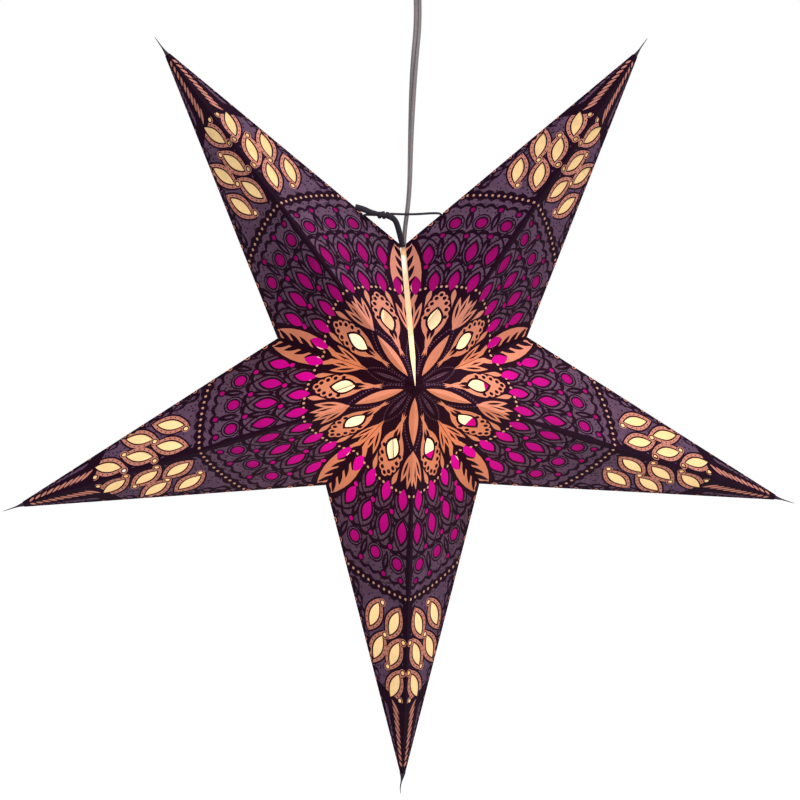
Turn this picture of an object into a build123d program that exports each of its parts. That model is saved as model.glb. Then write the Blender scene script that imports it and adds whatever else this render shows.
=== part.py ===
from build123d import *
import os
from math import cos, radians, sin, sqrt, tan

# Folding paper star lantern with its lamp, its flat flex and its ceiling cup
# Millimetres. The origin is on the ceiling in the middle of the cup, +Z is up, and the front faces -Y.
# Point 1 is the upper left one, and the others follow counter-clockwise, seen from the front.
# The left side of a point is its counter-clockwise side, as if the point stood upright.

# Star
point_count = 5
first_point_turn = 126.0
seam_turn = 90.0
tip_radius = 306.0
notch_radius = 98.7
half_depth = 90.0
paper_thickness = 0.35
crease_gap = 0.12
valley_gap = 0.5
seam_gap_at_centre = 0.3
seam_gap_at_notch = 2.3

# Pinched paper tips
tip_cut = 6.6
tip_seat = 0.5
tip_root_radius = 1.3
tip_end_radius = 0.25
tip_reach = 9.5

# Windows: sizes in millimetres, places as shares of the ridge and of the turn from ridge to valley
open_window_length = 19.0
open_window_width = 11.0
open_window_shares = [(0.182, 0.50)]
magenta_window_length = 18.0
magenta_window_width = 8.6
magenta_window_shares = [
    (0.290, 0.13),
    (0.290, 0.39),
    (0.290, 0.65),
    (0.290, 0.88),
    (0.372, 0.10),
    (0.372, 0.32),
    (0.372, 0.54),
    (0.372, 0.76),
]
round_window_width = 9.0
round_window_corner_count = 6
round_window_shares = [(0.455, 0.12), (0.455, 0.34), (0.455, 0.56)]
cream_window_length = 22.0
cream_window_width = 8.6
cream_window_turn = 21.0
# Along the ridge, and across as a share of the half width of the point there
cream_window_shares = [(0.605, 0.27), (0.600, 0.66), (0.682, 0.30), (0.680, 0.71), (0.762, 0.36)]
# Corners of a leaf-shaped window, as shares of its length and width
leaf_outline_shares = [(-0.5, 0), (-0.2, -0.42), (0.2, -0.42), (0.5, 0), (0.2, 0.42), (-0.2, 0.42)]

# Tissue glued behind the windows, its ends as shares of the ridge
tissue_thickness = 0.12
tissue_margin = 4.0
tissue_seam = 3.0
magenta_start_share = 0.251
magenta_end_share = 0.539
cream_end_share = 0.821

# Tie cord
tie_hole_distance = 38.0
tie_hole_radius = 1.6
tie_stopper_radius = 1.9
tie_stopper_depth = 3.4
tie_thread_radius = 1.0
tie_tail_width = 4.4
tie_tail_thickness = 2.2
tie_knot_radius = 2.9
tie_knot_length = 10.0
tie_knot_edge = 2.0
tie_knot_side = 13.4
tie_knot_rise = 124.6
tie_knot_front = 6.6
tie_thread_rise = 1.3
tie_gap = 0.4
# Points of the two tails, from the middle of the knot: to the side, to the front and up
upper_tail_route = [(-2.0, 0, 0.4), (-9.5, 0.6, 2.0), (-15.0, -0.2, 4.6), (-21.0, -1.6, 6.2)]
lower_tail_route = [(1.5, 0.4, -0.4), (8.0, 2.0, -3.0), (12.4, 1.8, -11.0), (14.6, 1.2, -22.0)]

# Flat flex
flex_thickness = 3.2
flex_width = 6.0
flex_top_gap = 0.85
flex_straight = 11.5
# Route from the straight part over the lampholder up to the cord grip: to the side of the star centre, and up
flex_bends = [(1.4, 140.0), (2.1, 180.0), (5.0, 232.0), (9.0, 276.0), (10.2, 301.0)]
# The part of the shorter run that an arc may take up, as a share
bend_share = 0.45

# Lampholder
holder_radius = 14.0
holder_wall = 1.5
holder_collar_radius = 5.2
holder_entry_radius = 3.3
holder_seat = 0.45
holder_play = 0.2
cap_height = 22.0
sleeve_height = 28.0
inner_body_radius = 11.8
inner_body_height = 25.0
inner_body_bore = 7.6
inner_body_floor = 3.0
inner_body_inset = 2.1
clamp_length = 13.0
clamp_width = 9.0
clamp_height = 12.0
clamp_edge = 1.5
contact_thickness = 0.4
contact_width = 4.0
contact_length = 10.0
contact_gap = 0.3
contact_play = 0.1

# Bulb
bulb_radius = 22.5
bulb_wall = 0.9
bulb_neck_radius = 6.3
bulb_neck_length = 4.0
bulb_cheek_turn = 48.0
bulb_height = 77.0
screw_shell_radius = 6.9
screw_shell_length = 15.0
screw_shell_wall = 0.3
thread_depth = 0.35
thread_count = 5
insulator_height = 2.6
insulator_top_radius = 3.4
base_contact_radius = 2.3
base_contact_height = 1.1

# Ceiling cup and its fittings
cup_radius = 38.0
cup_height = 36.0
cup_wall = 1.4
cup_straight = 17.0
cup_floor_radius = 15.0
cup_rim_gap = 0.5
bracket_thickness = 1.5
bracket_width = 14.0
bracket_hole_radius = 2.25
bracket_hole_spacing = 52.0
ear_height = 12.0
ear_clearance = 1.1
side_screw_radius = 1.5
side_screw_length = 8.0
side_screw_head_radius = 2.8
side_screw_head_height = 1.6
side_screw_play = 0.15
grip_head_radius = 8.0
grip_head_height = 8.0
grip_edge = 1.2
grip_stem_radius = 4.9
grip_stem_height = 8.5
grip_bore_radius = 3.4
grip_play = 0.2
lock_nut_width = 14.0
lock_nut_height = 3.0
block_length = 22.0
block_width = 11.0
block_height = 13.0
block_barrel_radius = 3.0
block_barrel_step = 1.2
block_seat = 0.3

# Overrun of every cut
overrun = 1.0

# Places that follow from the sizes above
turn_per_side = 180.0 / point_count
flex_top_side, flex_top_rise = flex_bends[-1]
pivot_z = -(cup_height + grip_head_height)
star_x = -flex_top_side
star_z = pivot_z - flex_top_rise
cap_slope = notch_radius / half_depth
shoulder_z = star_z + notch_radius - cap_slope * holder_radius - holder_seat
collar_z = star_z + notch_radius - cap_slope * holder_collar_radius - holder_seat
cap_bottom_z = shoulder_z - cap_height
sleeve_bottom_z = cap_bottom_z - sleeve_height
inner_body_z = sleeve_bottom_z + inner_body_inset
inner_body_top_z = inner_body_z + inner_body_height
bore_floor_z = inner_body_top_z - inner_body_floor
spring_z = bore_floor_z - contact_thickness
bulb_top_z = spring_z - contact_thickness - contact_gap
screw_top_z = bulb_top_z - base_contact_height - insulator_height
screw_bottom_z = screw_top_z - screw_shell_length
globe_z = bulb_top_z - bulb_height + bulb_radius

nodes = {}


def add(name, *solids):
    nodes[name] = solids[0] if len(solids) == 1 else Compound(children=list(solids))


def on_star(turn, radius, front=0):
    side = radius * cos(radians(turn))
    rise = radius * sin(radians(turn))
    return Vector(star_x + side, -front, star_z + rise)


def by_star(side, front, rise):
    return Vector(star_x + side, -front, star_z + rise)


def meet(line, other):
    """Where two lines of a panel's outline cross."""
    (a, b), (c, d) = line, other
    ab, cd, ac = b - a, d - c, c - a
    return a + ab * ((ac.X * cd.Y - ac.Y * cd.X) / (ab.X * cd.Y - ab.Y * cd.X))


# Outline of a panel: its centre corner is at zero and its ridge lies along X
ridge_length = sqrt(tip_radius**2 + half_depth**2)
valley_length = sqrt(notch_radius**2 + half_depth**2)
side_length = sqrt(
    tip_radius**2 + notch_radius**2 - 2 * tip_radius * notch_radius * cos(radians(turn_per_side))
)
notch_along = (ridge_length**2 + valley_length**2 - side_length**2) / (2 * ridge_length)
notch_across = sqrt(valley_length**2 - notch_along**2)
panel_centre = Vector(0, 0)
panel_notch = Vector(notch_along, notch_across)
panel_tip = Vector(ridge_length, 0)
valley_turn = Vector(1, 0).get_angle(panel_notch)


def inset_edge(a, b, gap_at_a, gap_at_b):
    """The edge from a to b, moved to its right by a gap that may change on the way."""
    along = (b - a).normalized()
    inward = Vector(along.Y, -along.X)
    return a + inward * gap_at_a, b + inward * gap_at_b


def panel_face(gap_at_centre, gap_at_notch, gap, end_gap):
    valley = inset_edge(panel_centre, panel_notch, gap_at_centre, gap_at_notch)
    side = inset_edge(panel_notch, panel_tip, gap, gap)
    ridge = inset_edge(panel_tip, panel_centre, gap, gap)
    end = (Vector(ridge_length - end_gap, 0), Vector(ridge_length - end_gap, notch_across))
    corners = [meet(ridge, valley), meet(valley, side), meet(side, end), meet(end, ridge)]
    return make_face(Polyline(*corners, close=True))


def leaf_window(length, width, along, across, turn):
    corners = [(x_share * length, y_share * width) for x_share, y_share in leaf_outline_shares]
    return Pos(along, across) * Rot(0, 0, turn) * make_face(Polyline(*corners, close=True))


def round_window(width, along, across, turn):
    corner = RegularPolygon(radius=width / 2, side_count=round_window_corner_count)
    return Pos(along, across) * Rot(0, 0, turn) * corner


def fan_place(ridge_share, turn_share):
    turn = valley_turn * turn_share
    radius = ridge_length * ridge_share
    return radius * cos(radians(turn)), radius * sin(radians(turn)), turn


def spray_place(ridge_share, across_share):
    along = ridge_length * ridge_share
    half_width = notch_across * (ridge_length - along) / (ridge_length - notch_along)
    return along, half_width * across_share, cream_window_turn


def all_windows():
    cuts = [leaf_window(open_window_length, open_window_width, *fan_place(*s)) for s in open_window_shares]
    for shares in magenta_window_shares:
        cuts.append(leaf_window(magenta_window_length, magenta_window_width, *fan_place(*shares)))
    for shares in round_window_shares:
        cuts.append(round_window(round_window_width, *fan_place(*shares)))
    for shares in cream_window_shares:
        cuts.append(leaf_window(cream_window_length, cream_window_width, *spray_place(*shares)))
    return cuts


def band(start_at_ridge, start_at_side, end):
    """A strip across the panel, wider than it."""
    low, high = -overrun, notch_across + overrun
    return make_face(
        Polyline((start_at_ridge, low), (end, low), (end, high), (start_at_side, high), close=True)
    )


windows = all_windows()
magenta_start, magenta_end, cream_end = (
    share * ridge_length for share in (magenta_start_share, magenta_end_share, cream_end_share)
)
magenta_start_at_side = magenta_start * cos(radians(valley_turn)) - tissue_margin
tissue_room = panel_face(tissue_margin, tissue_margin, tissue_margin, ridge_length - cream_end)
magenta_tissue = tissue_room & band(magenta_start, magenta_start_at_side, magenta_end)
cream_start = magenta_end + tissue_seam
cream_tissue = tissue_room & band(cream_start, cream_start, ridge_length)


def tie_hole(side):
    """The hole at a side crease next to the seam: its middle, and the way out of the star."""
    turn = seam_turn + side * turn_per_side
    notch = on_star(seam_turn, notch_radius)
    along = (on_star(turn, tip_radius) - notch).normalized()
    outward = Vector(side * along.Z, 0, -side * along.X)
    return notch + along * tie_hole_distance, outward


def tie_bore(side):
    middle, outward = tie_hole(side)
    bore = Cylinder(tie_hole_radius, 2 * tie_stopper_depth)
    return Plane(origin=middle, z_dir=outward) * bore


def panel(point, side, face):
    """One paper panel and the tissue behind it. Side is 1 on the left, face is 1 at the front."""
    turn = first_point_turn + point * 2 * turn_per_side
    seam = (point == 0 and side < 0) or (point == point_count - 1 and side > 0)
    centre = on_star(turn, 0, face * half_depth)
    along = on_star(turn, tip_radius) - centre
    across = on_star(turn + side * turn_per_side, notch_radius) - centre
    normal = along.cross(across)
    plane = Plane(origin=centre, x_dir=along, z_dir=normal)
    out = 1 if normal.Y * face < 0 else -1
    gaps = (seam_gap_at_centre, seam_gap_at_notch) if seam else (valley_gap, valley_gap)
    outline = panel_face(*gaps, crease_gap, tip_cut)
    sheet = extrude(plane * (outline - windows), amount=out * paper_thickness)
    if seam:
        sheet = sheet - tie_bore(1 if point == 0 else -1)
    tissues = [extrude(plane * t, amount=-out * tissue_thickness) for t in (magenta_tissue, cream_tissue)]
    return sheet.solid(), [t.solid() for t in tissues]


def pinched_tip(point):
    turn = first_point_turn + point * 2 * turn_per_side
    root = on_star(turn, tip_radius - tip_cut + tip_seat)
    outward = on_star(turn, tip_radius) - root
    height = tip_cut - tip_seat + tip_reach
    cone = Cone(tip_root_radius, tip_end_radius, height, align=(Align.CENTER, Align.CENTER, Align.MIN))
    return (Plane(origin=root, z_dir=outward) * cone).solid()


for point in range(point_count):
    for side, side_name in ((1, "left"), (-1, "right")):
        for face, face_name in ((1, "front"), (-1, "back")):
            sheet, tissues = panel(point, side, face)
            name = f"point_{point + 1}_{face_name}_{side_name}"
            tips = [pinched_tip(point)] if (side, face) == (1, 1) else []
            add(name, sheet, *tips)
            add(name + "_tissue", *tissues)


def bent_route(name, points):
    """Straight runs joined by arcs, each as large as its two runs allow."""
    radii = []
    for before, at, after in zip(points, points[1:], points[2:]):
        turn = (at - before).get_angle(after - at)
        run = min((at - before).length, (after - at).length)
        radii.append(bend_share * run / tan(radians(turn / 2)))
    print(name, "radii", [round(r, 1) for r in radii])
    return FilletPolyline(*points, radius=radii)


def check_sweep(name, swept, section, path):
    ratio = swept.volume / section.area / path.length
    print(name, "length", round(path.length, 1), "volume over section times length", round(ratio, 4))


def cord(name, points, outline):
    """The outline, drawn with its width along X, swept along a route that runs across the view."""
    path = bent_route(name, points)
    across = Vector(0, 1, 0).cross(path % 0)
    section = Plane(origin=path @ 0, x_dir=across, z_dir=path % 0) * outline
    swept = sweep(section, path=path)
    check_sweep(name, swept, section, path)
    return swept


# Tie cord: the left half has the knot and the tails, the right half meets it at the knot
def tie_start(side):
    middle, outward = tie_hole(side)
    stopper = middle - outward * tie_stopper_depth
    return stopper, middle + outward * tie_stopper_depth


def rounded_knot():
    knot = Cylinder(tie_knot_radius, tie_knot_length)
    return fillet(knot.edges().filter_by(GeomType.CIRCLE), tie_knot_edge)


knot_middle = by_star(-tie_knot_side, tie_knot_front, tie_knot_rise)
left_stopper, left_exit = tie_start(1)
right_stopper, right_exit = tie_start(-1)
thread = Circle(tie_thread_radius)
tail = SlotOverall(tie_tail_width, tie_tail_thickness)
tie_left_parts = [
    Pos(left_stopper) * Sphere(tie_stopper_radius),
    cord("left tie", [left_stopper, left_exit, knot_middle], thread),
    Pos(knot_middle) * Rot(0, 90, 0) * rounded_knot(),
]
for name, route in (("upper tail", upper_tail_route), ("lower tail", lower_tail_route)):
    points = [knot_middle + Vector(x, -y, z) for x, y, z in route]
    tie_left_parts.append(cord(name, points, tail))
tie_left = Part() + tie_left_parts
knot_end = knot_middle + Vector(tie_knot_length / 2 + tie_gap, 0, tie_thread_rise)
over_flex = by_star(0, tie_knot_front, tie_knot_rise)
tie_right = Part() + [
    Pos(right_stopper) * Sphere(tie_stopper_radius),
    cord("right tie", [right_stopper, right_exit, over_flex, knot_end], thread),
]
add("tie_left", tie_left.solid())
add("tie_right", tie_right.solid())

# Flat flex
flex_start_z = inner_body_top_z + clamp_height
route = [Vector(star_x, 0, flex_start_z), Vector(star_x, 0, collar_z + flex_straight)]
route += [by_star(side, 0, rise) for side, rise in flex_bends]
flex_path = bent_route("flex", route)
flex_section = SlotOverall(flex_width, flex_thickness)
flex = sweep(Plane(origin=route[0], x_dir=(0, 1, 0), z_dir=(0, 0, 1)) * flex_section, path=flex_path)
check_sweep("flex", flex, flex_section, flex_path)
add("flex", flex.solid())


def ring_profile(*corners):
    return make_face(Plane.XZ * Polyline(*corners, close=True))


def turned(profile, x):
    return Pos(x, 0, 0) * revolve(profile, Axis.Z)


# Lampholder
cap_outside = ring_profile(
    (0, cap_bottom_z),
    (holder_radius, cap_bottom_z),
    (holder_radius, shoulder_z),
    (holder_collar_radius, collar_z),
    (0, collar_z),
)
cap_inside = ring_profile(
    (0, cap_bottom_z - overrun),
    (holder_radius - holder_wall, cap_bottom_z - overrun),
    (holder_radius - holder_wall, shoulder_z - holder_wall),
    (holder_collar_radius, collar_z - holder_wall - holder_wall),
    (0, collar_z - holder_wall - holder_wall),
)
cap_entry = Pos(star_x, 0, collar_z) * Cylinder(holder_entry_radius, cap_height)
add("holder_cap", (turned(cap_outside, star_x) - turned(cap_inside, star_x) - cap_entry).solid())

sleeve = Cylinder(holder_radius, sleeve_height - holder_play) - Cylinder(
    holder_radius - holder_wall, sleeve_height + overrun
)
sleeve = Pos(star_x, 0, sleeve_bottom_z + (sleeve_height - holder_play) / 2) * sleeve
add("holder_sleeve", sleeve.solid())

# The side contact stands against a flat in the wall of the bore
inner_body_place = Pos(star_x, 0, inner_body_z + inner_body_height / 2)
contact_flat = Box(inner_body_bore, contact_width + 2 * contact_play, contact_length + 2 * contact_play)
side_contact_x = inner_body_bore - contact_thickness / 2
side_contact = Pos(side_contact_x, 0, 0) * Box(contact_thickness, contact_width, contact_length)
inner_body = Cylinder(inner_body_radius, inner_body_height)
inner_body -= Pos(0, 0, -inner_body_floor) * Cylinder(inner_body_bore, inner_body_height)
inner_body -= Pos(inner_body_bore / 2, 0, 0) * contact_flat
add("holder_inner_body", (inner_body_place * inner_body).solid())
add("side_contact", (inner_body_place * side_contact).solid())

clamp_place = Pos(star_x, 0, inner_body_top_z + clamp_height / 2)
clamp = Box(clamp_length, clamp_width, clamp_height)
add("flex_clamp", (clamp_place * fillet(clamp.edges().filter_by(Axis.Z), clamp_edge)).solid())

spring = Pos(0, 0, -contact_thickness / 2) * Box(contact_length, contact_width, contact_thickness)
rivet = Pos(0, 0, contact_thickness / 2) * Cylinder(base_contact_radius, contact_thickness)
add("centre_contact", (Pos(star_x, 0, spring_z) * (spring + rivet)).solid())


# Bulb
def globe_profile(wall):
    """Half of the glass outline, moved inwards by the wall."""
    radius = bulb_radius - wall
    neck = bulb_neck_radius - wall
    cheek_x = radius * cos(radians(bulb_cheek_turn))
    cheek_z = globe_z + radius * sin(radians(bulb_cheek_turn))
    neck_top = screw_bottom_z - contact_gap + (overrun if wall else 0)
    neck_z = screw_bottom_z - contact_gap - bulb_neck_length
    bottom = (0, globe_z - radius)
    globe = ThreePointArc(bottom, (radius, globe_z), (cheek_x, cheek_z))
    cheek_line = Line((cheek_x, cheek_z), (neck, neck_z))
    neck_line = Polyline((neck, neck_z), (neck, neck_top), (0, neck_top), bottom)
    return make_face(Plane.XZ * Wire([*globe.edges(), *cheek_line.edges(), *neck_line.edges()]))


glass = turned(globe_profile(0), star_x) - turned(globe_profile(bulb_wall), star_x)
add("bulb_glass", glass.solid())

thread_pitch = screw_shell_length / (2 * thread_count)
thread_points = [(screw_shell_radius - thread_depth, screw_bottom_z)]
for k in range(1, 2 * thread_count):
    depth = 0 if k % 2 else thread_depth
    thread_points.append((screw_shell_radius - depth, screw_bottom_z + k * thread_pitch))
thread_points.append((screw_shell_radius - thread_depth, screw_top_z))
shell_bore = screw_shell_radius - thread_depth - screw_shell_wall
screw_shell = ring_profile(*thread_points, (shell_bore, screw_top_z), (shell_bore, screw_bottom_z))
add("bulb_screw_shell", turned(screw_shell, star_x).solid())

insulator = Pos(star_x, 0, screw_top_z) * Cone(
    screw_shell_radius - thread_depth,
    insulator_top_radius,
    insulator_height,
    align=(Align.CENTER, Align.CENTER, Align.MIN),
)
add("bulb_insulator", insulator.solid())
base_contact_place = Pos(star_x, 0, bulb_top_z - base_contact_height / 2)
add("bulb_base_contact", (base_contact_place * Cylinder(base_contact_radius, base_contact_height)).solid())


# Ceiling cup and its fittings
def cup_profile(wall):
    """Half of the cup outline, moved inwards by the wall."""
    radius = cup_radius - wall
    floor = cup_floor_radius - wall
    top = overrun if wall else -cup_rim_gap
    side = Polyline((0, top), (radius, top), (radius, -cup_straight))
    curve = RadiusArc((radius, -cup_straight), (floor, -cup_height + wall), cup_radius)
    base = Polyline((floor, -cup_height + wall), (0, -cup_height + wall), (0, top))
    return make_face(Plane.XZ * Wire([*side.edges(), *curve.edges(), *base.edges()]))


ear_x = sqrt((cup_radius - cup_wall) ** 2 - (bracket_width / 2) ** 2) - ear_clearance
side_screw_z = -(bracket_thickness + ear_height) / 2
cup = revolve(cup_profile(0), Axis.Z) - revolve(cup_profile(cup_wall), Axis.Z)
cup -= Pos(0, 0, -cup_height) * Cylinder(grip_stem_radius + grip_play, cup_height)
cup -= Pos(0, 0, side_screw_z) * Rot(0, 90, 0) * Cylinder(
    side_screw_radius + side_screw_play, 2 * (cup_radius + overrun)
)
add("ceiling_cup", cup.solid())

bracket = Pos(0, 0, -bracket_thickness / 2) * Box(2 * ear_x, bracket_width, bracket_thickness)
for side in (1, -1):
    ear = Box(bracket_thickness, bracket_width, bracket_thickness + ear_height)
    ear_place = Pos(side * (ear_x - bracket_thickness / 2), 0, -(bracket_thickness + ear_height) / 2)
    bracket += ear_place * ear
    bracket -= Pos(side * bracket_hole_spacing / 2, 0, 0) * Cylinder(bracket_hole_radius, 2 * ear_height)
bracket -= Pos(0, 0, side_screw_z) * Rot(0, 90, 0) * Cylinder(
    side_screw_radius + side_screw_play, 2 * (cup_radius + overrun)
)
add("ceiling_bracket", bracket.solid())

side_screws = []
for side in (1, -1):
    head_x = cup_radius + side_screw_head_height / 2
    shank_x = cup_radius - side_screw_length / 2
    screw = Pos(head_x, 0, 0) * Rot(0, 90, 0) * Cylinder(side_screw_head_radius, side_screw_head_height)
    screw += Pos(shank_x, 0, 0) * Rot(0, 90, 0) * Cylinder(side_screw_radius, side_screw_length)
    side_screws.append((Rot(0, 0, 0 if side > 0 else 180) * Pos(0, 0, side_screw_z) * screw).solid())
add("cup_side_screws", *side_screws)

grip_profile = ring_profile(
    (grip_bore_radius, pivot_z),
    (grip_head_radius - grip_edge, pivot_z),
    (grip_head_radius, pivot_z + grip_edge),
    (grip_head_radius, -cup_height),
    (grip_stem_radius, -cup_height),
    (grip_stem_radius, -cup_height + grip_stem_height),
    (grip_bore_radius, -cup_height + grip_stem_height),
)
add("cord_grip", revolve(grip_profile, Axis.Z).solid())

nut_z = -cup_height + cup_wall
nut = extrude(RegularPolygon(radius=lock_nut_width / 2, side_count=6, major_radius=False), lock_nut_height)
nut -= Cylinder(grip_stem_radius + grip_play / 2, 2 * (lock_nut_height + overrun))
add("lock_nut", (Pos(0, 0, nut_z) * nut).solid())

block_z = -bracket_thickness - block_height / 2
block = Pos(0, 0, block_z) * Box(block_length, block_width, block_height)
for side in (1, -1):
    barrel = Rot(90, 0, 0) * Cylinder(block_barrel_radius, block_width + 2 * block_barrel_step)
    block += Pos(side * block_length / 4, 0, block_z) * barrel
add("terminal_block", block.solid())

flex_top_start = -bracket_thickness - block_height - block_seat
flex_top_end = pivot_z + flex_top_gap
flex_top = Pos(0, 0, flex_top_end) * Rot(0, 0, 90) * extrude(flex_section, flex_top_start - flex_top_end)
add("flex_top", flex_top.solid())

os.makedirs("parts", exist_ok=True)
for name, shape in nodes.items():
    export_step(shape, f"parts/{name}.step")
print(len(nodes), "nodes")
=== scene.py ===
from math import atan2, ceil, cos, degrees, pi, radians, sin, sqrt, tan

import bmesh
import bpy
from mathutils import Matrix, Vector, noise
from mathutils.geometry import delaunay_2d_cdt, intersect_line_line


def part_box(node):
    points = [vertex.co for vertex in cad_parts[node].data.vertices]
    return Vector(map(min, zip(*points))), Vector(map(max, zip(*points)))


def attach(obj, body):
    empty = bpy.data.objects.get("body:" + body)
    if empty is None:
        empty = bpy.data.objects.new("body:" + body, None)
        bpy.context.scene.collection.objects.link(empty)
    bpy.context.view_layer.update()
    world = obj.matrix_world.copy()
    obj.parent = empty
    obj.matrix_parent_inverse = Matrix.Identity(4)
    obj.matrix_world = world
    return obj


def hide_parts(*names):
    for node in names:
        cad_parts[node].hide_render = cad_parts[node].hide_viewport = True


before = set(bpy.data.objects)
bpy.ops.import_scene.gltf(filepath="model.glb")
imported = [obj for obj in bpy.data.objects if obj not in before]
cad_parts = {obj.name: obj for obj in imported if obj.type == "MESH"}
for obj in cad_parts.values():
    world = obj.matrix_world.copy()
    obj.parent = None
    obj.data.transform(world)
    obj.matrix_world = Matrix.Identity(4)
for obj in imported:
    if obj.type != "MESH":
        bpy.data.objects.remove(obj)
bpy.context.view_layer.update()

# Places in the scene are in metres; the star's sizes and the flat print of a panel are in millimetres.
mm = 0.001

star = {
    "centre": Vector((-0.0102, 0, -0.345)),
    "points": 5,
    "firstTurn": 126,  # point 1 is the upper left one, the others follow counter-clockwise
    "tipRadius": 306.0,
    "notchRadius": 98.7,
    "halfDepth": 90.0,
    "paperThickness": 0.25,
    "paperLift": 0.05,  # clear of the tissue behind it
    "ridgeCloses": 35.8,  # degrees, from open to folded
    "valleyCloses": 39.7,
    "sideOpens": 35.2,
    "foldRoom": 3.0,  # left between the panels when folded
}

view = {
    "azimuth": -5.8,
    "elevation": 3.9,
    "distance": 3.0,
    "width": 0.602,  # what the picture spans at the star
    "aimDrop": 0.0164,
    "aimRight": -0.0020,
    "clipEnd": 20,
}


def addObject(name, data):
    made = bpy.data.objects.new(name, data)
    bpy.context.scene.collection.objects.link(made)
    return made


def makeCamera():
    camera = addObject("camera", bpy.data.cameras.new("camera"))
    turn, rise = radians(view["azimuth"]), radians(view["elevation"])
    away = Vector((sin(turn) * cos(rise), -cos(turn) * cos(rise), sin(rise)))
    aim = star["centre"] + Vector((view["aimRight"], 0, -view["aimDrop"]))
    camera.location = aim + away * view["distance"]
    camera.rotation_euler = away.to_track_quat("Z", "Y").to_euler()
    camera.data.lens = camera.data.sensor_width * view["distance"] / view["width"]
    camera.data.clip_end = view["clipEnd"]
    bpy.context.scene.camera = camera


makeCamera()


def linkMesh(name, mesh, *materials):
    piece = addObject(name, mesh)
    for material in materials:
        mesh.materials.append(material)
    return piece


def finishMesh(name, bm, smooth=False):
    mesh = bpy.data.meshes.new(name)
    bm.to_mesh(mesh)
    bm.free()
    if smooth:
        for face in mesh.polygons:
            face.use_smooth = True
    return mesh


def routeCurve(name, route, tilts, resolution, swells):
    curve = bpy.data.curves.new(name, "CURVE")
    curve.dimensions = "3D"
    curve.resolution_u = resolution
    curve.use_fill_caps = True
    spline = curve.splines.new("NURBS")
    spline.points.add(len(route) - 1)
    for point, place, tilt, swell in zip(spline.points, route, tilts, swells):
        point.co = (*place, 1)
        point.tilt = radians(tilt)
        point.radius = swell
    spline.order_u = 3
    spline.use_endpoint_u = True
    return addObject(name, curve)


def evaluatedMesh(holder):
    bpy.context.view_layer.update()
    return bpy.data.meshes.new_from_object(holder.evaluated_get(bpy.context.evaluated_depsgraph_get()))


def sectionCurve(name, outline):
    curve = bpy.data.curves.new(name, "CURVE")
    curve.dimensions = "2D"
    spline = curve.splines.new("POLY")
    spline.points.add(len(outline) - 1)
    for point, (x, y) in zip(spline.points, outline):
        point.co = (x, y, 0, 1)
    spline.use_cyclic_u = True
    return addObject(name, curve)


def sweepAlong(name, route, tilts, swells, outline, resolution):
    # a cord: its section is swept along the spline, and the spline's own points are its path
    holder = routeCurve(name + "Route", route, tilts, resolution, swells)
    path = [tuple(v.co) for v in evaluatedMesh(holder).vertices]
    section = sectionCurve(name + "Section", outline)
    holder.data.bevel_mode = "OBJECT"
    holder.data.bevel_object = section
    mesh = evaluatedMesh(holder)
    mesh.name = name
    for extra in (holder, section):
        bpy.data.objects.remove(extra, do_unlink=True)
    mesh.materials.clear()
    return mesh, path


def twinSection(width, thickness, groove, arc=250, steps=10):
    # two round cores side by side, each an arc of so many degrees, joined by a thinner web
    radius = thickness / 2
    offset = width / 2 - radius
    right = []
    for k in range(steps + 1):
        turn = radians(-arc / 2 + arc * k / steps)
        right.append((offset + radius * cos(turn), radius * sin(turn)))
    right.append((groove, radius - groove))
    left = [(-x, -y) for x, y in right]
    return right + left


def ovalSection(width, thickness, steps=12):
    turns = [2 * pi * k / steps for k in range(steps)]
    return [(width / 2 * cos(turn), thickness / 2 * sin(turn)) for turn in turns]


flex = {
    "width": 0.006,
    "thickness": 0.0032,
    "groove": 0.0006,
    "length": 0.2293,
    "route": [
        (-0.0102, 0, -0.273),
        (-0.0099, 0, -0.241),
        (-0.0050, 0, -0.208),
        (-0.0042, 0, -0.165),
        (-0.0020, 0, -0.113),
        (0.0022, 0, -0.071),
        (0, 0, -0.044),
    ],
    "tilts": [0, 0, 0, 12, 62, 85, 85],  # degrees; the flex turns its narrow side to the view low down
    "resolution": 24,
}
flexSection = twinSection(flex["width"], flex["thickness"], flex["groove"])
flexMesh, flexPath = sweepAlong(
    "flex", flex["route"], flex["tilts"], [1] * len(flex["route"]), flexSection, flex["resolution"]
)
flexCord = linkMesh("flexCord", flexMesh)
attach(flexCord, "lamp")
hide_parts("flex")
print("flex made")

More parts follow.
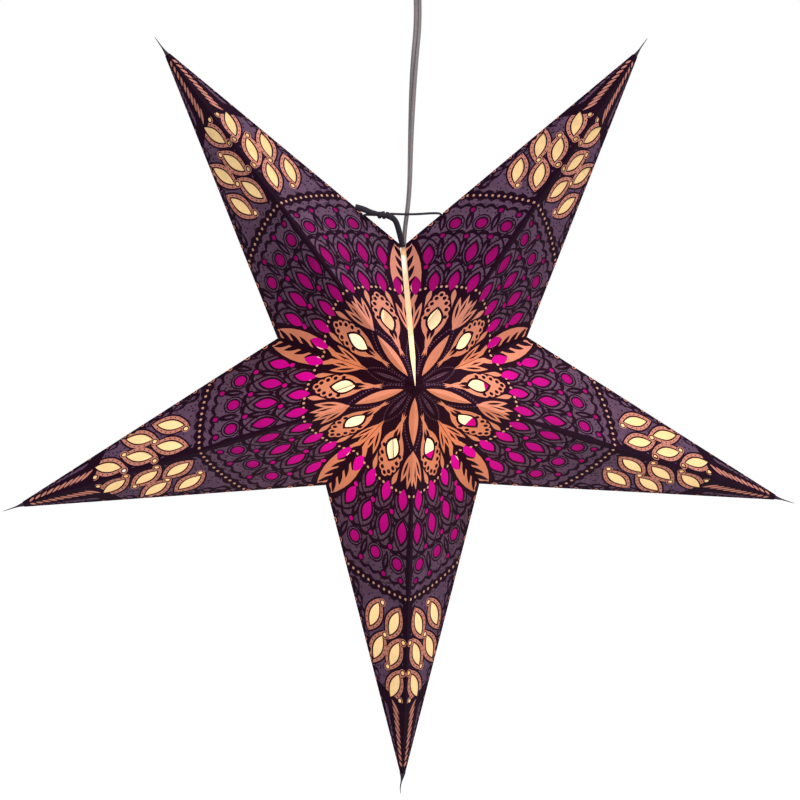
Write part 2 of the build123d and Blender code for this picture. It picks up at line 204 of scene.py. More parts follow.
tie = {
    "width": 0.0052,  # of a tail; the threads are the same tape, drawn thin
    "thickness": 0.0030,
    "resolution": 16,
    "tailDiameter": 0.0030,
    "threadDiameter": 0.0020,
    "stopperRadius": 1.9,
    "knotMiddle": Vector((-0.0254, -0.0066, -0.2222)),
    "leftStopper": (-0.04165, 0, -0.22469),
    "leftHole": (-0.0395, 0, -0.2221),
    "leftOutside": (-0.0366, -0.0012, -0.2220),
    "rightStopper": (0.02125, 0, -0.22469),
    "rightHole": (0.0191, 0, -0.2221),
    "rightOutside": (0.0162, -0.0012, -0.2206),
    "overFlex": (-0.0060, -0.0066, -0.2220),
    "rightEnd": (-0.0204, -0.0066, -0.2212),
    # points of the two tails in millimetres from the middle of the knot: side, front, up
    "lowerTail": [(1.5, 0.4, -0.4), (8.2, 2.0, -2.0), (11.6, 1.8, -11.0), (14.4, 1.2, -24.0)],
    "upperTail": [(10.4, 1.9, -6.4), (6.4, 1.7, -2.2), (-2.0, 0, 0.4)]
    + [(-9.5, 0.6, 2.0), (-15.0, -0.2, 4.6), (-21.0, -1.6, 6.2)],
    # the tape's tilt, its size as a share of the tail's, and its declared length
    "left": ([0, 0, 0, 20, 60, 90, 90, 90], [0.56, 0.56, 0.56, 0.56, 0.7, 0.85, 0.9, 0.8], 0.0487),
    "upper": ([90] * 6, [0.5, 0.55, 0.65, 0.8, 0.9, 0.85], 0.035),
    "right": ([0] * 5, [0.56] * 5, 0.0433),
}
knot = {
    "turns": ((-2.5, 16, 1.0), (0.2, -14, 1.2), (2.8, 22, 0.92)),  # along the thread, lean, size
    "tape": 1.25,  # radius of the tape, and how it is flattened
    "flatten": (1.25, 0.8, 1),
    "radius": 1.75,
    "segments": 10,
    "steps": 20,
}


def fromKnot(points):
    return [tie["knotMiddle"] + Vector((x, -y, z)) * mm for x, y, z in points]


def tieCord(name, route, tape, body, node):
    tilts, swells, length = tape
    section = ovalSection(tie["width"], tie["thickness"])
    mesh, path = sweepAlong(name, route, tilts, swells, section, tie["resolution"])
    piece = linkMesh(name, mesh)
    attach(piece, body)
    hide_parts(node)
    return piece


def makeKnot():
    # turns of the tape, each leaning its own way
    bm = bmesh.new()
    middle = (0, 0, 0)
    for along, lean, size in knot["turns"]:
        earlier = set(bm.verts)
        ring = bmesh.ops.create_circle(bm, segments=knot["segments"], radius=knot["tape"] * mm)["verts"]
        bmesh.ops.scale(bm, verts=ring, vec=knot["flatten"])
        bmesh.ops.rotate(bm, verts=ring, cent=middle, matrix=Matrix.Rotation(radians(90), 3, "X"))
        bmesh.ops.translate(bm, verts=ring, vec=(0, 0, knot["radius"] * size * mm))
        edges = [e for e in bm.edges if e.verts[0] in ring and e.verts[1] in ring]
        around = {"cent": middle, "axis": (1, 0, 0), "angle": 2 * pi}
        bmesh.ops.spin(bm, geom=ring + edges, steps=knot["steps"], use_merge=True, **around)
        turned = [v for v in bm.verts if v not in earlier]
        bmesh.ops.rotate(bm, verts=turned, cent=middle, matrix=Matrix.Rotation(radians(lean), 3, "Y"))
        bmesh.ops.translate(bm, verts=turned, vec=(along * mm, 0, 0))
    bmesh.ops.remove_doubles(bm, verts=bm.verts, dist=0.01 * mm)
    bmesh.ops.recalc_face_normals(bm, faces=bm.faces)
    bmesh.ops.translate(bm, verts=bm.verts, vec=tie["knotMiddle"])
    return linkMesh("tieKnot", finishMesh("tieKnot", bm, True))


def makeStopper(name):
    bm = bmesh.new()
    bmesh.ops.create_uvsphere(bm, u_segments=14, v_segments=8, radius=tie["stopperRadius"] * mm)
    bmesh.ops.translate(bm, verts=bm.verts, vec=tie[name])
    return linkMesh(name, finishMesh(name, bm, True))


leftBody, rightBody = "point_1_front_right_panel", "point_5_front_left_panel"
tieKnot = makeKnot()
leftStopper = makeStopper("leftStopper")
rightStopper = makeStopper("rightStopper")
for piece, body, node in (
    (tieKnot, leftBody, "tie_left"),
    (leftStopper, leftBody, "tie_left"),
    (rightStopper, rightBody, "tie_right"),
):
    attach(piece, body)
    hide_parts(node)
tieLeft = tieCord(
    "tieLeft",
    [tie["leftStopper"], tie["leftHole"], tie["leftOutside"], tie["knotMiddle"], *fromKnot(tie["lowerTail"])],
    tie["left"],
    leftBody,
    "tie_left",
)
tieUpperTail = tieCord(
    "tieUpperTail", fromKnot(tie["upperTail"]), tie["upper"], leftBody, "tie_left"
)
tieRight = tieCord(
    "tieRight",
    [tie["rightStopper"], tie["rightHole"], tie["rightOutside"], tie["overFlex"], tie["rightEnd"]],
    tie["right"],
    rightBody,
    "tie_right",
)
print("tie made")


def addNode(tree, kind, inputs=None, **settings):
    made = tree.nodes.new("ShaderNode" + kind)
    for key, value in settings.items():
        setattr(made, key, value)
    for key, value in (inputs or {}).items():
        made.inputs[key].default_value = value
    return made


def startMaterial(name, color, roughness, specular):
    material = bpy.data.materials.new(name)
    material.use_nodes = True
    tree = material.node_tree
    shader = tree.nodes["Principled BSDF"]
    shader.inputs["Base Color"].default_value = (*color, 1)
    shader.inputs["Roughness"].default_value = roughness
    shader.inputs["Specular IOR Level"].default_value = specular
    place = addNode(tree, "TexCoord").outputs["Object"]
    return material, tree, shader, place


def connect(tree, source, target):
    tree.links.new(source, target)


def calculate(tree, operation, *values):
    # a Math node; its values are numbers, or the sockets that they come from
    made = addNode(tree, "Math", operation=operation)
    for value, target in zip(values, made.inputs):
        if isinstance(value, bpy.types.NodeSocket):
            connect(tree, value, target)
        else:
            target.default_value = value
    return made.outputs[0]


def mottle(tree, shader, place, color, amount, scale):
    # the colour drifts a little lighter and darker over the surface
    cloud = addNode(tree, "TexNoise", {"Scale": scale, "Detail": 4, "Roughness": 0.6})
    ramp = addNode(tree, "ValToRGB")
    darker, lighter = ramp.color_ramp.elements
    darker.position = 0.32
    lighter.position = 0.68
    darker.color = (*[c * (1 - amount) for c in color], 1)
    lighter.color = (*[min(1, c * (1 + amount)) for c in color], 1)
    connect(tree, place, cloud.inputs["Vector"])
    connect(tree, cloud.outputs["Fac"], ramp.inputs["Fac"])
    connect(tree, ramp.outputs["Color"], shader.inputs["Base Color"])
    return ramp


def fineBump(tree, shader, place, scale, strength, distance, detail=3):
    grain = addNode(tree, "TexNoise", {"Scale": scale, "Detail": detail})
    bump = addNode(tree, "Bump", {"Strength": strength, "Distance": distance})
    connect(tree, place, grain.inputs["Vector"])
    connect(tree, grain.outputs["Fac"], bump.inputs["Height"])
    connect(tree, bump.outputs["Normal"], shader.inputs["Normal"])
    return grain


def startFinish(name, color, roughness, specular, drift, grain=None):
    # a material whose colour drifts and, where grain is given, whose surface is fine-grained
    material, tree, shader, place = startMaterial(name, color, roughness, specular)
    mottle(tree, shader, place, color, *drift)
    if grain:
        fineBump(tree, shader, place, *grain)
    return material, tree, shader, place


lamp = {
    "bulbRadius": 0.0225,
    "reach": 0.105,  # metres from the bulb at which its light has halved
    # the lampholder shades what lies above the bulb, by the cosine from straight up
    "shade": {"From Min": 0.1, "From Max": 0.85, "To Min": 1.0, "To Max": 0.45},
}


def makeLampGlow():
    # how brightly the bulb lights a place, 1 at the bulb
    low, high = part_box("bulb_glass")
    middle = (low + high) / 2
    middle.z = low.z + lamp["bulbRadius"]
    tree = bpy.data.node_groups.new("lampGlow", "ShaderNodeTree")
    tree.interface.new_socket("Glow", in_out="OUTPUT", socket_type="NodeSocketFloat")
    out = tree.nodes.new("NodeGroupOutput")
    place = addNode(tree, "TexCoord").outputs["Object"]
    away = addNode(tree, "VectorMath", operation="SUBTRACT")
    away.inputs[1].default_value = middle
    far = addNode(tree, "VectorMath", operation="LENGTH")
    parts = addNode(tree, "SeparateXYZ")
    shade = addNode(tree, "MapRange", lamp["shade"])
    connect(tree, place, away.inputs[0])
    connect(tree, away.outputs["Vector"], far.inputs[0])
    connect(tree, away.outputs["Vector"], parts.inputs[0])
    share = calculate(tree, "DIVIDE", far.outputs["Value"], lamp["reach"])
    plusOne = calculate(tree, "ADD", calculate(tree, "POWER", share, 2.0), 1.0)
    fade = calculate(tree, "DIVIDE", 1.0, plusOne)
    upward = calculate(tree, "DIVIDE", parts.outputs["Z"], far.outputs["Value"])
    connect(tree, upward, shade.inputs["Value"])
    connect(tree, calculate(tree, "MULTIPLY", fade, shade.outputs["Result"]), out.inputs["Glow"])
    return tree


lampGlow = makeLampGlow()


# the bulb's light painted on a surface as emission, as strong as lampGlow gives there
def addGlow(tree, shader, color, strength, power=1.0):
    group = addNode(tree, "Group", node_tree=lampGlow)
    bent = calculate(tree, "POWER", group.outputs["Glow"], power)
    shader.inputs["Emission Color"].default_value = (*color, 1)
    connect(tree, calculate(tree, "MULTIPLY", bent, strength), shader.inputs["Emission Strength"])


# glow is the colour and the strength of the bulb's light through the ink, and how fast it fades
inks = {
    "dark": {"color": (0.0105, 0.0012, 0.0085), "mottle": 0.25, "glow": ((0.8, 0.10, 0.06), 0.030, 2.0)},
    "slate": {"color": (0.108, 0.054, 0.098), "mottle": 0.14, "glow": ((0.85, 0.20, 0.08), 0.10, 2.2)},
    "salmon": {"color": (0.55, 0.212, 0.158), "mottle": 0.10, "glow": ((1.0, 0.24, 0.010), 0.88, 2.0)},
    "pale": {"color": (0.50, 0.26, 0.19), "mottle": 0.08, "glow": ((1.0, 0.46, 0.14), 0.7, 1.5)},
}
paper = {"roughness": 0.65, "specular": 0.04, "mottleScale": 90, "grain": (900, 0.25, 0.0002)}
specks = {"scale": 340, "size": 0.31, "shade": 0.22, "specular": 0.07}


def makeInk(name, look, speckled=False):
    specular = specks["specular"] if speckled else paper["specular"]
    material, tree, shader, place = startMaterial(name + "Ink", look["color"], paper["roughness"], specular)
    ramp = mottle(tree, shader, place, look["color"], look["mottle"], paper["mottleScale"])
    fineBump(tree, shader, place, *paper["grain"])
    addGlow(tree, shader, *look["glow"])
    if speckled:
        # tiny darker specks
        cells = addNode(tree, "TexVoronoi", {"Scale": specks["scale"], "Randomness": 0.8})
        spot = calculate(tree, "LESS_THAN", cells.outputs["Distance"], specks["size"])
        mix = addNode(tree, "Mix", data_type="RGBA")
        mix.inputs["B"].default_value = (*[c * specks["shade"] for c in look["color"]], 1)
        connect(tree, place, cells.inputs["Vector"])
        connect(tree, spot, mix.inputs["Factor"])
        connect(tree, ramp.outputs["Color"], mix.inputs["A"])
        connect(tree, mix.outputs["Result"], shader.inputs["Base Color"])
    return material


inkMaterials = {name: makeInk(name, look, name == "slate") for name, look in inks.items()}


# the inside of the paper; its glow is the bulb's light painted on as emission
def makePaperInside():
    grain = (700, 0.3, 0.0002)
    material, tree, shader, _ = startFinish("paperInside", (0.62, 0.50, 0.38), 0.8, 0.2, (0.08, 60), grain)
    addGlow(tree, shader, (1.0, 0.77, 0.46), 1.75)
    return material


paperInside = makePaperInside()

# glow is the bulb's light painted on through the tissue as emission: its colour, its strength and how fast it
# fades
tissues = {
    "magenta": {"color": (0.25, 0.001, 0.100), "glow": ((1.0, 0.0, 0.40), 1.6, 2.2)},
    "cream": {"color": (0.62, 0.41, 0.19), "glow": ((1.0, 0.70, 0.34), 1.6, 0.7)},
}


def makeTissue(name, look):
    material, tree, shader, place = startFinish(name + "Tissue", look["color"], 0.7, 0.06, (0.14, 160))
    crinkle = fineBump(tree, shader, place, 240, 0.5, 0.0008, 5)
    crinkle.inputs["Distortion"].default_value = 0.6
    addGlow(tree, shader, *look["glow"])
    return material


tissueMaterials = {name: makeTissue(name, look) for name, look in tissues.items()}

# The flat print of one panel, in millimetres: centre corner at zero, ridge along X, notch above it.
ridgeLength = sqrt(star["tipRadius"] ** 2 + star["halfDepth"] ** 2)
valleyLength = sqrt(star["notchRadius"] ** 2 + star["halfDepth"] ** 2)
halfTurn = pi / star["points"]
between = 2 * star["tipRadius"] * star["notchRadius"] * cos(halfTurn)
sideLength = sqrt(star["tipRadius"] ** 2 + star["notchRadius"] ** 2 - between)
notchAlong = (ridgeLength**2 + valleyLength**2 - sideLength**2) / (2 * ridgeLength)
notchAcross = sqrt(valleyLength**2 - notchAlong**2)
valleyTurn = degrees(atan2(notchAcross, notchAlong))


def halfWidth(along):
    return notchAcross * (ridgeLength - along) / (ridgeLength - notchAlong)


# A place on the sheet is a distance from the centre corner with a share of the fan, 0 on the ridge and 1 on the
# valley, or a share of the ridge's length with a share of the sheet's width there.
def leafShape(length, width, fullness=0.85, steps=9):
    upper = [(length * (k / steps - 0.5), width / 2 * sin(pi * k / steps) ** fullness) for k in range(steps)]
    return upper + [(-x, -y) for x, y in upper]


def dropShape(length, width, steps=14):
    # a drop, pointed at its start and round at its end
    upper = [(length * (k / steps - 0.5), width / 2 * sin(pi * (k / steps) ** 1.7)) for k in range(steps + 1)]
    return upper + [(x, -y) for x, y in reversed(upper[1:-1])]


def roundShape(radius, steps=12):
    return [(radius * cos(2 * pi * k / steps), radius * sin(2 * pi * k / steps)) for k in range(steps)]


def placed(shape, along, across, turn=0):
    c, s = cos(radians(turn)), sin(radians(turn))
    return [(along + x * c - y * s, across + x * s + y * c) for x, y in shape]


def fanPlace(radius, turnShare):
    turn = valleyTurn * turnShare
    return radius * cos(radians(turn)), radius * sin(radians(turn)), turn


def arcLine(radius, lobes, swell, steps=6):
    # a line round the centre corner from the ridge to the valley, with lobes that swell outwards
    count = lobes * steps
    points = []
    for k in range(count + 1):
        share = k / count
        x, y, _ = fanPlace(radius + swell * abs(sin(pi * (share * lobes))), share)
        points.append((x, y))
    return points


def spread(line, below=3.0, beyond=4):
    # carries a line on past the ridge and past the valley, so that a band covers both edges
    x, y = line[-1]
    turn = radians(valleyTurn + beyond)
    far = sqrt(x * x + y * y)
    return [(line[0][0], -below), *line, (far * cos(turn), far * sin(turn))]


# the windows; radii are shares of the ridge's length
layout = {
    "open": {"length": 19.0, "width": 11.0, "radius": 0.182, "turn": 0.50},
    "magenta": {
        "length": 18.0,
        "width": 8.6,
        "rings": [(0.290, [0.13, 0.39, 0.65, 0.88]), (0.372, [0.10, 0.32, 0.54, 0.76])],
    },
    "round": {"width": 9.0, "radius": 0.455, "turns": [0.12, 0.34, 0.56]},
    "cream": {
        "length": 22.0,
        "width": 8.6,
        "turn": 21.0,
        "places": [(0.605, 0.27), (0.600, 0.66), (0.682, 0.30), (0.680, 0.71), (0.762, 0.36)],
        "dots": [(0.563, 0.46), (0.642, 0.49), (0.720, 0.52), (0.645, 0.08), (0.722, 0.09), (0.795, 0.20)],
    },
    # round pinholes, in millimetres from the centre corner
    "pins": [(158, 0.23), (157, 0.45), (157, 0.075), (106, 0.26), (107, 0.52), (108, 0.77)]
    + [(133, 0.43), (134, 0.21), (135, 0.65)],
}


inksOn, holeShapes = [], []


def ink(name, shape, along=0, across=0, turn=0):
    inksOn.append((name, placed(shape, along, across, turn)))


def cut(shape, along, across, turn=0):
    holeShapes.append(placed(shape, along, across, turn))


def fanInk(name, shape, radius, share, lean=0, ahead=0.0):
    # a shape on the fan round the centre corner, turned along its spoke
    x, y, turn = fanPlace(radius, share)
    turn += lean
    ink(name, shape, x + ahead * cos(radians(turn)), y + ahead * sin(radians(turn)), turn)


def beadLine(name, shape, radius, share, size, step):
    # small beads along the outline of a shape
    x, y, turn = fanPlace(radius, share)
    outline = placed(shape, x, y, turn)
    left = 0.0
    for (ax, ay), (bx, by) in zip(outline, outline[1:] + outline[:1]):
        run = sqrt((bx - ax) ** 2 + (by - ay) ** 2)
        while left < run:
            part = left / run
            ink(name, roundShape(size, 6), ax + (bx - ax) * part, ay + (by - ay) * part)
            left += step
        left -= run


def inkBand(inner, outer, lobes, innerSwell, outerSwell):
    # a dark lobed band round the centre corner
    innerLine = spread(arcLine(inner, lobes, innerSwell))
    ink("dark", innerLine + spread(arcLine(outer, lobes, outerSwell))[::-1])


def drawLeaves(radius, share, ahead, leaves):
    # salmon leaves with a dark vein, each with its own lean and length
    for lean, length in leaves:
        fanInk("salmon", leafShape(length, 5.4), radius, share, lean, ahead)
        fanInk("dark", leafShape(length - 13, 1.9), radius, share, lean, ahead + 1)


def drawRosette():
    # a glowing petal on each ridge, palmettes between them, one bed for the open window
    ink("dark", [(-5, -5), *spread(arcLine(86, 5, 3.0))])
    fanInk("salmon", leafShape(38, 9.6, 1.0), 28, 0)
    beadLine("slate", leafShape(50, 19), 29, 0, 0.75, 2.4)
    fanInk("slate", leafShape(30, 3.0), 25, 1)
    beadLine("slate", leafShape(40, 11), 27, 1, 0.6, 2.2)
    # palmette on the valley, out to the notch
    fanInk("dark", leafShape(84, 34, 0.7), 106, 1)
    fanInk("salmon", leafShape(76, 27, 0.7), 107, 1)
    for k in range(6):
        fanInk("dark", leafShape(17, 4.6), 80 + 10 * k, 1, -34, 6.0)
    fanInk("dark", leafShape(72, 6.0), 106, 1)
    drawLeaves(49, 1, 14, ((-9, 34), (-24, 28)))
    fanInk("salmon", leafShape(30, 6.0), 60, 1)
    # palmette over the petal
    drawLeaves(50, 0, 17, ((8, 32), (21, 27)))
    fanInk("salmon", leafShape(26, 5.0), 66, 0)
    # bed of the open window, with a fringe of dotted scales
    fanInk("salmon", leafShape(40, 21.5, 0.9), 59, 0.5)
    fanInk("dark", leafShape(17, 6.4), 47, 0.5)
    for lean in (-16, 0, 16):
        fanInk("salmon", leafShape(21, 2.2), 33, 0.5, lean, 3.0)
    fringe = ((80, 0.0), (77.0, 0.062), (72.5, 0.118), (67, 0.163), (60.5, 0.195))
    for name, size in (("salmon", 3.1), ("dark", 1.7)):
        for radius, gap in fringe:
            for share in (0.5 - gap, 0.5 + gap):
                fanInk(name, roundShape(size), radius, share)
    for share, lean in ((0.30, 14), (0.70, -14)):
        fanInk("salmon", dropShape(17, 4.2), 77, share, lean)
    ink("dark", [(-5, -5), *spread(arcLine(8.5, 2, 1.0))])


def drawBorder(radius, width, lobes, beads):
    # a dark band with a row of beads on it
    inkBand(radius - width / 2, radius + width / 2, lobes, 2.4, 2.4)
    for k in range(beads):
        fanInk("pale", roundShape(1.15, 8), radius + 1.5, (k + 0.5) / beads)


def drawFeathers():
    # rows of feathers, a magenta window in each
    magenta = layout["magenta"]
    for radius, lobes, thick in ((107.0, 8, 3.0), (133.0, 9, 3.0), (157.5, 11, 2.4)):
        inkBand(radius, radius + thick, lobes, 2.4, 3.0)
    for radius, shares, length in (
        (97, (0.26, 0.52, 0.77, 1.0), 25),
        (124, (0.21, 0.43, 0.65, 0.87), 23),
        (148, (0.01, 0.23, 0.45, 0.67, 0.78), 19),
    ):
        for share in shares:
            fanInk("dark", leafShape(length, 6.4), radius, share)
            fanInk("slate", leafShape(length * 0.5, 1.7), radius, share, 0, -1.5)
    for ridgeShare, turns in magenta["rings"]:
        radius = ridgeLength * ridgeShare
        for share in turns:
            fanInk("dark", leafShape(30, 17.5, 0.75), radius, share, 0, 1.5)
            fanInk("slate", leafShape(26, 14.2, 0.75), radius, share, 0, 1.5)
            fanInk("dark", leafShape(22.5, 12.0), radius, share)
            cut(leafShape(magenta["length"], magenta["width"]), *fanPlace(radius, share))
    rounds = layout["round"]
    for share in rounds["turns"]:
        radius = ridgeLength * rounds["radius"]
        for name, size in (("dark", 8.0), ("slate", 6.8), ("dark", 5.8)):
            fanInk(name, roundShape(size, 16), radius, share)
        cut(roundShape(rounds["width"] / 2, 16), *fanPlace(radius, share))
    for radius, share in layout["pins"]:
        fanInk("dark", roundShape(3.4), radius, share)
        cut(roundShape(2.1, 10), *fanPlace(radius, share))


def sprayPlace(ridgeShare, acrossShare, turn=0.0):
    along = ridgeLength * ridgeShare
    return along, halfWidth(along) * acrossShare, turn


def drawSpray():
    # a leaf spray of cream windows, each in a ring of beads
    cream = layout["cream"]
    for k in range(10):
        place = sprayPlace(0.545 + 0.034 * k, 0.90, 152)
        ink("dark", dropShape(17 - 0.6 * k, 7.6 - 0.4 * k), *place)
        ink("slate", dropShape(9 - 0.3 * k, 2.6), *place)
    for k in range(8):
        along, across, _ = sprayPlace(0.57 + 0.036 * k, 0.06)
        ink("dark", leafShape(15, 5.4), along, across + 2.0, -24)
    ink("dark", [(168, -5), (262, -5), (262, 1.6), (215, 3.4), (168, 5.4)])
    for ridgeShare, acrossShare in cream["places"]:
        ink("dark", leafShape(35, 20.0), *sprayPlace(ridgeShare, acrossShare, cream["turn"]))
    for ridgeShare, acrossShare in cream["places"]:
        place = sprayPlace(ridgeShare, acrossShare, cream["turn"])
        ink("salmon", leafShape(31.5, 16.8), *place)
        for x, y in leafShape(28.6, 13.8, steps=7):
            ink("dark", placed(roundShape(0.62, 6), x, y), *place)
        ink("dark", leafShape(25.0, 11.0), *place)
        cut(leafShape(cream["length"], cream["width"]), *place)
    for ridgeShare, acrossShare in cream["dots"]:
        place = sprayPlace(ridgeShare, acrossShare)
        ink("salmon", roundShape(3.2), *place)
        ink("dark", roundShape(2.5), *place)
        cut(roundShape(1.7, 8), *place)


def drawTipBand():
    # small leaves towards the tip, and a scalloped edge along the side crease
    ink("dark", [(258, -5), (ridgeLength + 5, -5), (ridgeLength + 5, 30), (240, 34), (249, 18)])
    for k in range(10):
        along = 260 + 5.0 * k
        ink("salmon", leafShape(13 - 0.9 * k, 2.2), along, halfWidth(along) * 0.40, 142)
        ink("slate", leafShape(9 - 0.7 * k, 2.0), along + 2.4, halfWidth(along) * 0.78, 150)
    for k in range(30):
        share = (k + 0.5) / 30
        along = notchAlong + (ridgeLength - notchAlong) * share
        across = notchAcross * (1 - share)
        ink("dark", roundShape(4.4 - 2.6 * share, 10), along, across)
        if k % 2:
            ink("salmon", roundShape(2.6 - 1.9 * share, 8), along, across)
            ink("dark", roundShape(1.6 - 1.3 * share, 6), along, across)


def drawOpenWindow():
    opening = layout["open"]
    place = fanPlace(ridgeLength * opening["radius"], opening["turn"])
    ink("dark", leafShape(23.5, 14.8), *place)
    cut(leafShape(opening["length"], opening["width"]), *place)


past = 5
right, top = ridgeLength + past, notchAcross + past
ink("slate", [(-past, -past), (right, -past), (right, top), (-past, top)])
drawFeathers()
ink("dark", [(78, -3), (172, -3), (172, 2.4), (140, 3.4), (100, 2.0), (78, 3.0)])
drawRosette()
drawBorder(86.0, 5.6, 7, 14)
drawSpray()
drawBorder(168.5, 8.0, 12, 22)
drawTipBand()
drawOpenWindow()


def counterClockwise(shape):
    area = sum(a[0] * b[1] - b[0] * a[1] for a, b in zip(shape, shape[1:] + shape[:1]))
    return shape if area > 0 else shape[::-1]


inkOrder = ["dark", "slate", "salmon", "pale"]
# how close, in millimetres, points count as one or as lying on an edge
near = {"cut": 0.0001, "same": 0.001, "along": 0.05, "across": 0.02}


def flatPanel(outline, extraHoles=()):
    # one flat sheet cut along every outline; each part takes the ink that lies on top there
    shapes = [outline] + [s for _, s in inksOn] + holeShapes + list(extraHoles)
    coords, faces = [], []
    for shape in shapes:
        shape = counterClockwise(list(shape))
        faces.append(list(range(len(coords), len(coords) + len(shape))))
        coords += [Vector(p) for p in shape]
    points, _, parts, _, _, sources = delaunay_2d_cdt(coords, [], faces, 1, near["cut"])
    firstHole = 1 + len(inksOn)
    kept = []
    for part, source in zip(parts, sources):
        if 0 in source and max(source) < firstHole:
            kept.append((part, inkOrder.index(inksOn[max(source) - 1][0])))
    return points, kept


def panelMatrix(point, side, face):
    turn = radians(star["firstTurn"]) + point * 2 * halfTurn
    centre = star["centre"] + Vector((0, -face * star["halfDepth"] * mm, 0))

    def rim(angle, radius):
        return star["centre"] + Vector((cos(angle), 0, sin(angle))) * radius * mm

    along = (rim(turn, star["tipRadius"]) - centre).normalized()
    across = rim(turn + side * halfTurn, star["notchRadius"]) - centre
    normal = along.cross(across).normalized()
    up = normal.cross(along)
    outward = normal if normal.y * face < 0 else -normal
    matrix = Matrix((along * mm, up * mm, outward * mm)).transposed().to_4x4()
    matrix.translation = centre
    return matrix


def panelNormal(point, side, face):
    return panelMatrix(point, side, face).col[2].xyz.normalized()


ridgeAngle = degrees(panelNormal(0, 1, 1).angle(panelNormal(0, -1, 1)))
sideAngle = degrees(panelNormal(0, 1, 1).angle(panelNormal(0, 1, -1)))
valleyAngle = degrees(panelNormal(0, 1, 1).angle(panelNormal(1, -1, 1)))


def creaseSlopes(outline, atSeam):
    # how far each edge runs out, per millimetre of lift, so that two panels meet and still have room to fold
    ridge = tan(radians(ridgeAngle / 2))
    side = tan(radians((sideAngle - star["sideOpens"] - star["foldRoom"]) / 2))
    valley = 0 if atSeam else -tan(radians((valleyAngle + star["valleyCloses"] + star["foldRoom"]) / 2))
    return [ridge, 0, side] + [valley] * (len(outline) - 3)


def mitre(vert, outline, slopes):
    # moves a vertex of the outline, and one in the way of the fold, onto the planes at the creases
    lines = []
    for a, b, slope in zip(outline, outline[1:] + outline[:1], slopes):
        a, b = Vector(a), Vector(b)
        along = (b - a).normalized()
        outward = Vector((along.y, -along.x))
        offset = vert.co.xy - a
        inside = -offset.dot(outward)
        onEdge = -near["along"] < offset.dot(along) < (b - a).length + near["along"]
        if onEdge and inside < max(near["across"], -slope * vert.co.z):
            lines.append((outward, slope * vert.co.z + inside))
    if len(lines) == 1:
        outward, reach = lines[0]
        vert.co.xy += outward * reach
    elif len(lines) > 1:
        (n, p), (m, q) = lines[:2]
        turn = n.x * m.y - n.y * m.x
        vert.co.x += (p * m.y - q * n.y) / turn
        vert.co.y += (q * n.x - p * m.x) / turn


lap = {
    "width": 3.6,  # past the crease
    "under": 0.8,  # back under its own panel
    "thickness": 0.05,
    "sink": 0.06,  # below the panel's back
    "steps": 24,
    "clear": 8.0,  # degrees from the other panel when folded
    "tieGap": 3.0,
    # how fast a lap widens from its start and from its end
    "ridge": (0.5, 0.2),
    "valley": (0.5, 0.5),
    "side": (0.2, 0.5),
}


def addLap(bm, start, end, bend, growth):
    # a dark strip behind a crease, so that no light shows where two panels part
    start, end = Vector(start), Vector(end)
    length = (end - start).length
    along = (end - start) / length
    outward = Vector((along.y, -along.x, 0))
    inward = Vector((0, 0, -1))
    turned = outward * cos(radians(bend)) + inward * sin(radians(bend))
    shown = outward * sin(radians(bend)) - inward * cos(radians(bend))
    strip = bmesh.new()
    bmesh.ops.create_grid(strip, x_segments=lap["steps"], y_segments=2, size=0.5)
    for vert in strip.verts:
        reach = (vert.co.x + 0.5) * length
        width = min(1, reach * growth[0] / lap["width"], (length - reach) * growth[1] / lap["width"])
        place = (start + along * reach).to_3d() + inward * lap["sink"]
        row = round(vert.co.y * 2)
        if row > 0:
            place += turned * lap["width"] * width
        elif row < 0:
            place -= outward * lap["under"] * width
        vert.co = place
    bmesh.ops.remove_doubles(strip, verts=strip.verts, dist=near["same"])
    bmesh.ops.solidify(strip, geom=strip.faces[:], thickness=lap["thickness"])
    bmesh.ops.recalc_face_normals(strip, faces=strip.faces)
    for face in strip.faces:
        face.material_index = 0 if face.normal.dot(shown) > 0.5 else len(inkOrder)
    mesh = finishMesh("lap", strip)
    bm.from_mesh(mesh)
    bpy.data.meshes.remove(mesh)


def panelLaps(outline, side, face, atSeam):
    # the left panel carries the laps of its ridge and valley, the front panel that of its side crease
    laps = []
    if side > 0:
        laps.append((outline[0], outline[1], ridgeAngle + star["ridgeCloses"] + lap["clear"], lap["ridge"]))
        if not atSeam:
            laps.append((outline[3], outline[0], 0, lap["valley"]))
    if face > 0:
        tip, notch = Vector(outline[2]), Vector(outline[3])
        gap = (tip - notch).normalized() * lap["tieGap"]
        stops = (tip, tieHole + gap, tieHole - gap, notch) if atSeam else (tip, notch)
        for start, end in zip(stops[::2], stops[1::2]):
            laps.append((start, end, sideAngle + lap["clear"], lap["side"]))
    return laps


